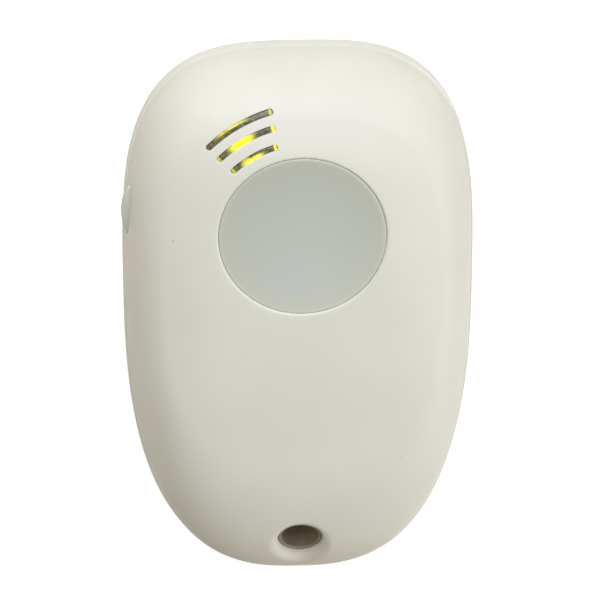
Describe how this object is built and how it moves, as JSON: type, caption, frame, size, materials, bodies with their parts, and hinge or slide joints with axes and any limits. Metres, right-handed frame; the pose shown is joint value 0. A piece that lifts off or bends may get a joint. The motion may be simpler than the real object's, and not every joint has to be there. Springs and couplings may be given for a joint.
{
  "type": "wireless panic button",
  "caption": "Pebble-shaped pendant transmitter with a round push button, lit arc slots, a side key and a lanyard hole.",
  "frame": {"origin": "on the flat back face, at mid-length and mid-width", "axes": "+Z out of the front face, +Y towards the end with the lit arcs, +X to the right seen from the front"},
  "size_m": [0.0403, 0.0654, 0.0149],
  "materials": {
    "case_plastic": "satin moulded off-white plastic",
    "frosted_plastic": "frosted translucent grey plastic",
    "guide_plastic": "clear light guide lit yellow",
    "seal_rubber": "soft black rubber",
    "liner_rubber": "dark brown rubber",
    "pad_silicone": "translucent white silicone",
    "screw_steel": "plated steel",
    "sheet_steel": "stainless sheet",
    "contact_brass": "plated brass",
    "board_laminate": "green lacquered laminate",
    "switch_plastic": "black moulded plastic",
    "led_resin": "clear yellow resin",
    "chip_ceramic": "fired ceramic"
  },
  "bodies": {
    "root": {"front_cover": "case_plastic", "rear_cover": "case_plastic", "case_seal": "seal_rubber", "sleeve_seal": "seal_rubber", "hole_liner": "liner_rubber", "case_screws": "screw_steel", "button_pad": "pad_silicone", "light_guide": "guide_plastic", "circuit_board": "board_laminate", "board_screws": "screw_steel", "main_switch_base": "switch_plastic", "main_switch_cover": "sheet_steel", "side_switch_base": "switch_plastic", "indicator_led": "led_resin", "radio_chip": "switch_plastic", "resonator_can": "sheet_steel", "antenna": "contact_brass", "chip_capacitors": "chip_ceramic", "chip_resistors": "switch_plastic", "coin_cell": "sheet_steel", "cell_clip": "sheet_steel", "cell_contact": "contact_brass"},
    "main_button": {"main_button": "frosted_plastic", "main_switch_plunger": "switch_plastic"},
    "side_button": {"side_button": "frosted_plastic", "side_switch_plunger": "switch_plastic"}
  },
  "joints": [
    {"name": "main_press", "type": "slide", "parent": "root", "child": "main_button", "axis": [0, 0, -1], "range_m": [0, 0.0006], "stiffness_N_per_m": 3000, "springref_m": -0.0004, "deforming": ["button_pad"]},
    {"name": "side_press", "type": "slide", "parent": "root", "child": "side_button", "axis": [1, 0, 0], "range_m": [0, 0.0004], "stiffness_N_per_m": 3000, "springref_m": -0.0004}
  ]
}
